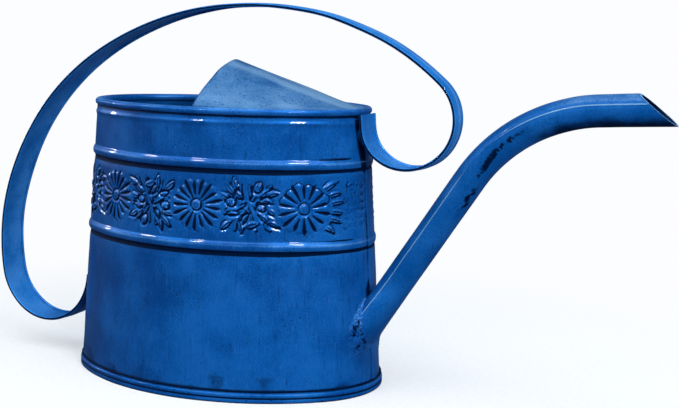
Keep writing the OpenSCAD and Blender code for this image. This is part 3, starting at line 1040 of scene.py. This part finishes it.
pads = {
    "around": 28,
    "rings": 14,
    "thick": 0.75,          # half thickness of a lump
    "square": 0.6,          # less than 1 makes it squarer
}


# Lumps of solder that show along both edges of the strap's end. side is 1 at the front and -1 at the rear.
def makePads(name, node, side, past):
    low, high = boxOf(node)
    z, height = low[2], high[2] - low[2]
    width = high[1] - wall["seamWidth"] / 2 + past
    around, rings, square = pads["around"], pads["rings"], pads["square"]
    points, faces = [], []
    for mirror in (-1, 1):
        first = len(points)
        grid = []
        for i in range(rings + 1):
            up = math.pi * i / rings - math.pi / 2
            flat = abs(math.cos(up)) ** square
            for j in range(around):
                a = 2 * math.pi * j / around
                c, s = math.cos(a), math.sin(a)
                y = mirror * (wall["seamWidth"] / 2 + width / 2)
                y = y + flat * np.sign(c) * abs(c) ** square * width / 2
                depth = flat * np.sign(s) * abs(s) ** square * pads["thick"]
                h = z + height / 2 + np.sign(up) * (1 - abs(math.cos(up)) ** 1.2) * height / 2
                grid.append((y, depth, h))
        grid = np.array(grid)
        grid[:, 0] += 0.35 * ripple(grid, 7, 41)
        grid[:, 2] += 0.5 * ripple(grid, 6, 42)
        x = wallHalf(grid[:, 2]) + grid[:, 1] + 0.1 - (oval["endRadius"] - np.sqrt(
            np.clip(oval["endRadius"] ** 2 - grid[:, 0] ** 2, 0, None)))
        points += np.stack([side * x, grid[:, 0], grid[:, 2]], -1).tolist()
        faces += [tuple(first + k for k in f) for f in tube(rings + 1, around)]
    marks = {"patinaAndShade": 0.35, "wearAndHighlight": 0.2}
    makePiece(name, np.array(points), faces, "solder", [node], marks, 70)


makePads("front_joint", "front_solder", 1, 1.2)
makePads("rear_joint", "rear_solder", -1, 1.5)


# ---- spout ----

spout = {
    "diameter": 18.5,
    "outletDiameter": 18.1,
    "rise": 56.6,           # degrees, of the lower part
    "height": 43,           # where its middle line leaves the wall
    "run": 105,
    "bendRadius": 95,
    "outletRise": 3.6,
    "outletRun": 30.4,
    "mouthTilt": 38,
    "mouthTwist": 2.2,      # degrees that the cut is turned to one side
    "thick": 0.9,
    "sides": 64,
    "seamTurn": 156,        # degrees round the tube to its seam, from the far side over the top
    "seamStand": 0.22,
    "flare": 0.8,           # how much wider, not higher, the tube is where it meets the wall
    "flareReach": 34,
    "clear": 19,            # distance from the wall at which the rings are square to the tube
    "rootRings": 10,        # from the wall to there
    "lowerRings": 45,
    "bendRings": 70,
    "outletRings": 6,
}
spoutSeam = math.radians(spout["seamTurn"])
spoutAngles = np.arange(spout["sides"]) * 2 * math.pi / spout["sides"] + 0.01
spoutAngles = np.sort(np.concatenate([spoutAngles, spoutSeam + np.linspace(-0.07, 0.07, 7)]))


def spoutLine():            # (x, z), heading and distance of each station
    rise, end = math.radians(spout["rise"]), math.radians(spout["outletRise"])
    start = np.array([wallHalf(spout["height"]), spout["height"]])
    bendStart = start + spout["run"] * ahead(rise)
    centre = bendStart - spout["bendRadius"] * aside(rise)
    points, headings = [], []
    clear = 1 - spout["clear"] / spout["run"]
    for k in range(spout["lowerRings"]):
        points.append(bendStart - (bendStart - start) * (1 - k / spout["lowerRings"]) * clear)
        headings.append(rise)
    for k in range(spout["bendRings"] + 1):
        h = rise + (end - rise) * k / spout["bendRings"]
        points.append(centre + spout["bendRadius"] * aside(h))
        headings.append(h)
    outletStart, way = points[-1], ahead(end)
    for k in range(1, spout["outletRings"] + 1):
        points.append(outletStart + (spout["outletRun"] * 0.45) * k / spout["outletRings"] * way)
        headings.append(end)
    mouth = outletStart + spout["outletRun"] * way
    return np.array(points), np.array(headings), mouth


def spoutRing(at, heading, radius, wider=1.0, a=spoutAngles):
    x = at[0] - radius * np.sin(a) * math.sin(heading)
    z = at[1] + radius * np.sin(a) * math.cos(heading)
    return np.stack([x, wider * radius * np.cos(a), z], -1)


def flareAt(distance):      # how much wider than round the tube is, at a distance from the wall
    return 1 + spout["flare"] * (1 - smooth(distance, 0, spout["flareReach"])) ** 1.3


# Slides a ring back down the lower part until it meets the wall
def toWall(ring, heading, gap):
    d = ahead(heading)
    x = ring[:, 0] - oval["endCentre"]
    top = wallHalf(0) - oval["endCentre"] + gap
    left = top - taper * ring[:, 2]
    a = d[0] ** 2 - (taper * d[1]) ** 2
    b = x * d[0] + taper * d[1] * left
    c = x ** 2 + ring[:, 1] ** 2 - left ** 2
    t = (-b + np.sqrt(b ** 2 - a * c)) / a
    return ring + t[:, None] * np.array([d[0], 0, d[1]])


def toMouth(ring, heading, mouth):      # slides a ring on until it lies in the slanted cut
    tilt = math.radians(spout["mouthTilt"])
    d = ahead(heading)
    n = np.array([math.sin(tilt), math.cos(tilt)])
    twist = math.tan(math.radians(spout["mouthTwist"]))
    t = ((mouth - ring[:, [0, 2]]) @ n - ring[:, 1] * twist) / (d @ n)
    return ring + t[:, None] * np.array([d[0], 0, d[1]])


def makeSpout():
    line, headings, mouth = spoutLine()
    lengths = np.append(0, np.cumsum(np.hypot(*np.diff(line, axis=0).T)))
    share = lengths / lengths[-1]
    a = spoutAngles
    under = smooth(-np.sin(a), -0.3, 0.95)           # 1 along the underside, where painted shade goes
    ridge = hill(a, spoutSeam, 0.05)
    rows, stainsAndShade, rubsAndHighlights = [], [], []
    for skin, inset in enumerate((0, spout["thick"])):
        block, dark, rubAndHighlight = [], [], []
        for at, h, part, far in zip(line, headings, share, lengths):
            slim = smooth(part, 0.35, 0.75)
            radius = (spout["diameter"] + (spout["outletDiameter"] - spout["diameter"]) * slim) / 2 - inset
            radius = radius + spout["seamStand"] * ridge * (skin == 0)
            ring = spoutRing(at, h, radius)
            ragged = 0.7 + 0.45 * ripple(ring, 3.0, 62) + 0.25 * ripple(ring, 8, 63)
            # dark wiped in along the bend, and below it, and painted shade along the underside, growing
            # towards the outlet
            smear = hill(part, 0.57, 0.075) * hill(a, 3.62 - 3.4 * (part - 0.5), 0.19) * (0.2 + ragged)
            haze = 0.50 * hill(part, 0.66, 0.07) * hill(a, 3.25, 0.30) * ragged
            lowSmear = 0.75 * hill(part, 0.42, 0.05) * hill(a, 4.0, 0.28) * ragged
            low = 0.08 + 0.45 * smooth(part, 0.45, 0.95)
            dark.append(np.clip(np.max([low * under, smear, haze, lowSmear], 0), 0, 1))
            # a painted highlight along the seam ridge, and another over the top of the outlet
            seamShows = 1 - 0.9 * hill(part, 0.56, 0.10)
            above = 0.5 * smooth(part, 0.6, 0.9) * smooth(spoutSeam - a, 0, 0.3)
            rubAndHighlight.append(np.maximum(1.1 * ridge * seamShows, above))
            if not block:
                for f in np.linspace(0, 1, spout["rootRings"])[:-1]:
                    ring = spoutRing(at, h, radius, flareAt(f * spout["clear"]))
                    block.append(ring + (toWall(ring, h, -0.5) - ring) * (1 - f))
                dark = dark * spout["rootRings"]
                rubAndHighlight = rubAndHighlight * spout["rootRings"]
            block.append(spoutRing(at, h, radius, flareAt(far + spout["clear"])))
        end = toMouth(block[-1], headings[-1], mouth)
        tip = np.array([math.cos(headings[-1]), 0, math.sin(headings[-1])])
        block += [end - 1.3 * tip, end - 0.7 * tip, end]
        dark += [dark[-1], dark[-1], dark[-1] * 0.5]
        # a painted highlight round the cut edge of the mouth
        rubAndHighlight += [rubAndHighlight[-1], rubAndHighlight[-1] * 0.5 + 0.1, np.full(len(a), 0.85)]
        if skin:
            # painted shade over the whole inside of the tube
            dark = [np.full(len(a), 0.9)] * len(dark)
            rubAndHighlight = [r * 0 for r in rubAndHighlight[:-1]] + [rubAndHighlight[-1]]
            block, dark, rubAndHighlight = block[::-1], dark[::-1], rubAndHighlight[::-1]
        rows += block
        stainsAndShade += dark
        rubsAndHighlights += rubAndHighlight
    points = np.concatenate(rows)
    points += 0.06 * ripple(points, 30, 61)[:, None]
    faces = stitch([len(a)] * len(rows))
    marks = {"patinaAndShade": np.concatenate(stainsAndShade), "wearAndHighlight": np.concatenate(rubsAndHighlights)}
    makePiece("spout", points, faces, "spout", ["spout_tube"], marks, 50)


makeSpout()

collar = {
    "spread": 1.6,          # of the solder on the wall, above and below
    "sideSpread": 19,       # how much more at the two sides
    "climb": 7.0,           # up the tube
    "lump": 0.85,           # height of its lumps
    "around": 300,
    "across": 30,
}


# Solder in the corner between the spout and the wall
def makeCollar():
    rise = math.radians(spout["rise"])
    along = np.array([math.cos(rise), 0, math.sin(rise)])
    n = collar["around"]
    a = np.arange(n) * 2 * math.pi / n
    base = np.array([wallHalf(spout["height"]), spout["height"]]) + 20 * along[[0, 2]]

    def ring(radius, distance=0):
        return spoutRing(base, rise, radius, flareAt(distance), a)

    chance = np.random.default_rng(12)
    uneven = sum(chance.uniform(0.4, 1) * np.sin(k * a + chance.uniform(0, 6.3)) / k ** 0.5
                 for k in range(3, 14)) / 2.2
    side = smooth(np.abs(np.cos(a)), 0.25, 0.9) * (1 - 0.75 * smooth(np.sin(a), -0.1, 0.6))
    spread = np.maximum(collar["spread"] + collar["sideSpread"] * side * (0.75 + 0.45 * uneven), 1.0)
    climb = np.maximum(collar["climb"] * (0.35 + 0.75 * side + 0.3 * np.roll(uneven, 23)), 1.0)
    r = spout["diameter"] / 2
    foot = toWall(ring(r + spread / flareAt(0)), rise, -0.12)
    corner = toWall(ring(np.full(n, r + 0.2)), rise, 0.5)
    top = toWall(ring(np.full(n, r + 0.12), 0), rise, 0.0) + climb[:, None] * along
    top[:, 1] = top[:, 1] * flareAt(climb) / flareAt(0)
    rows, pits = [], []
    for k in range(collar["across"] + 1):
        t = k / collar["across"]
        bend = (1 - t) ** 2 * foot + 2 * t * (1 - t) * corner + t ** 2 * top
        lump = collar["lump"] * math.sin(math.pi * t) ** 0.5 * (0.4 + 0.6 * side)
        out = bend - toWall(ring(np.full(n, 2.0)), rise, -3)
        out = out / np.linalg.norm(out, axis=1)[:, None]
        rough = 0.4 * ripple(bend, 6.0, 51) + 0.4 * ripple(bend, 2.6, 52) + 0.5 * ripple(bend, 1.7, 53)
        rows.append(bend + out * (lump * rough)[:, None])
        pits.append(np.clip(0.12 - 0.85 * rough, 0, 1) * (0.15 + 0.85 * side) * math.sin(math.pi * t) ** 0.3)
    rows += [toWall(ring(np.full(n, r - 0.3)), rise, 0) + 0.8 * along, toWall(ring(r + 0.6), rise, -0.5)]
    notch = 0.95 * hill(a, 1.75, 0.22)
    stainAndShade = np.concatenate([np.maximum(p, notch) for p in pits] + [0.5 + 0 * a, 0.5 + 0 * a])
    wearAndHighlight = np.clip(0.35 - stainAndShade, 0, 0.35)
    faces = stitch([n] * len(rows))
    makePiece("spout_joint", np.concatenate(rows), faces, "solder", ["spout_solder"],
              {"patinaAndShade": stainAndShade, "wearAndHighlight": wearAndHighlight}, 80)


makeCollar()


# ---- floor and light ----

studio = {
    "floor": tint(238, 240, 243),
    "backdrop": tint(252, 253, 255),
    "grey": tint(88, 106, 124),
    "room": (0.42, 0.70, 0.94, 1),   # colour of the light from all round, which also shows in the gloss
    "floorRadius": 9.0,
    "lamps": [              # name, place, width, height, watts
        ("overhead", (0.15, -0.35, 1.35), 1.5, 1.2, 18),
        ("right_window", (1.25, -1.15, 0.75), 0.5, 0.9, 28),
        ("front_fill", (-0.1, -1.7, 0.5), 1.0, 0.8, 5.5),
        ("far_left_strip", (-1.6, 0.1, 0.5), 0.14, 0.6, 5),
    ],
    "panes": [              # turn round the can, height, width and length
        (177.5, 0.52, 0.10, 0.16),
        (203, 1.35, 0.16, 0.30),
        (245.7, 1.35, 0.22, 0.30),
        (315.3, 1.35, 0.30, 0.30),
    ],
    "paneGlow": 420,        # watts to the square metre
    "paneReach": 1.6,
    "aim": (0.0, 0.0, 0.1),
    "backLight": ((-0.35, 0.25), (0.75, 0.52)),     # depth and strength in front of the can, then behind it
}


def makeLamps():
    lamps = list(studio["lamps"])
    for turn, height, width, length in studio["panes"]:
        a = math.radians(turn)
        place = (studio["paneReach"] * math.cos(a), studio["paneReach"] * math.sin(a), height)
        lamps.append(("pane", place, width, length, studio["paneGlow"] * width * length))
    for name, place, width, height, watts in lamps:
        data = bpy.data.lights.new(name, "AREA")
        data.shape = "RECTANGLE"
        data.size = width
        data.size_y = height
        data.energy = watts
        lamp = addObject(name, data)
        # the panes are there for the gloss alone; the other lamps but one are left out of it
        lamp.visible_diffuse = name != "pane"
        lamp.visible_glossy = name in ("overhead", "pane")
        away = Vector(place) - Vector(studio["aim"])
        lamp.matrix_world = Matrix.Translation(place) @ away.to_track_quat("Z", "Y").to_matrix().to_4x4()


def makeFloor():
    rings = [0.0, 0.6, 1.5, 3.0, 5.0, studio["floorRadius"]]
    count = 96
    points, faces = [(0, 0, 0)], []
    for radius in rings[1:]:
        points += [(radius * math.cos(2 * math.pi * j / count), radius * math.sin(2 * math.pi * j / count), 0)
                   for j in range(count)]
    for j in range(count):
        faces.append((0, 1 + j, 1 + (j + 1) % count))
    for i in range(len(rings) - 2):
        for j in range(count):
            a, b = 1 + i * count + j, 1 + i * count + (j + 1) % count
            faces.append((a, a + count, b + count, b))
    mesh = bpy.data.meshes.new("floor")
    mesh.from_pydata(points, [], faces)
    f = Finish("pale_floor")
    grain = f.cloud(f.place(), 300, 3)
    f.set(Base_Color=f.blend(studio["floor"], tint(230, 233, 237), f.ramp(grain, 0.4, 0.6)))
    f.set(Roughness=0.6 + grain * 0.1)
    # away from the can the floor turns into the backdrop; what the can sees of it is grey
    where = f.node("ShaderNodeTexCoord", {}, {}, "Object")
    far = f.node("ShaderNodeVectorMath", {"operation": "LENGTH"}, {0: where}, "Value")
    glow = f.node("ShaderNodeEmission", {}, {"Color": studio["backdrop"], "Strength": 1.0})
    seen = f.node("ShaderNodeMixShader", {}, {
        0: f.ramp(far, 0.1, 0.45, 0.5, 1), 1: Socket(f, f.shader.outputs[0]), 2: glow})
    grey = f.node("ShaderNodeBsdfDiffuse", {}, {"Color": studio["grey"]})
    direct = f.node("ShaderNodeLightPath", {}, {}, "Is Camera Ray")
    end = f.node("ShaderNodeMixShader", {}, {0: direct, 1: grey, 2: seen})
    f.tree.links.new(end.output, f.tree.nodes["Material Output"].inputs["Surface"])
    mesh.materials.append(f.material)
    floor = addObject("floor", mesh)


# A plain backdrop to look at. The light that it gives is stronger behind the can than in front of it.
def makeWorld():
    world = bpy.data.worlds.new("studio")
    bpy.context.scene.world = world
    world.use_nodes = True
    nodes, links = world.node_tree.nodes, world.node_tree.links
    nodes.clear()
    where = nodes.new("ShaderNodeTexCoord")
    split = nodes.new("ShaderNodeSeparateXYZ")
    links.new(where.outputs["Generated"], split.inputs[0])
    depth = nodes.new("ShaderNodeMapRange")
    depth.interpolation_type = "SMOOTHSTEP"
    for end, (at, strength) in zip(("Min", "Max"), studio["backLight"]):
        depth.inputs["From " + end].default_value = at
        depth.inputs["To " + end].default_value = strength
    links.new(split.outputs["Y"], depth.inputs["Value"])
    room = nodes.new("ShaderNodeBackground")
    room.inputs["Color"].default_value = studio["room"]
    links.new(depth.outputs[0], room.inputs["Strength"])
    seen = nodes.new("ShaderNodeBackground")
    seen.inputs["Color"].default_value = studio["backdrop"]
    path = nodes.new("ShaderNodeLightPath")
    mix = nodes.new("ShaderNodeMixShader")
    links.new(path.outputs["Is Camera Ray"], mix.inputs[0])
    links.new(room.outputs[0], mix.inputs[1])
    links.new(seen.outputs[0], mix.inputs[2])
    links.new(mix.outputs[0], nodes.new("ShaderNodeOutputWorld").inputs[0])


makeLamps()
makeFloor()
makeWorld()
bpy.context.scene.view_settings.view_transform = "Standard"
print("studio made")
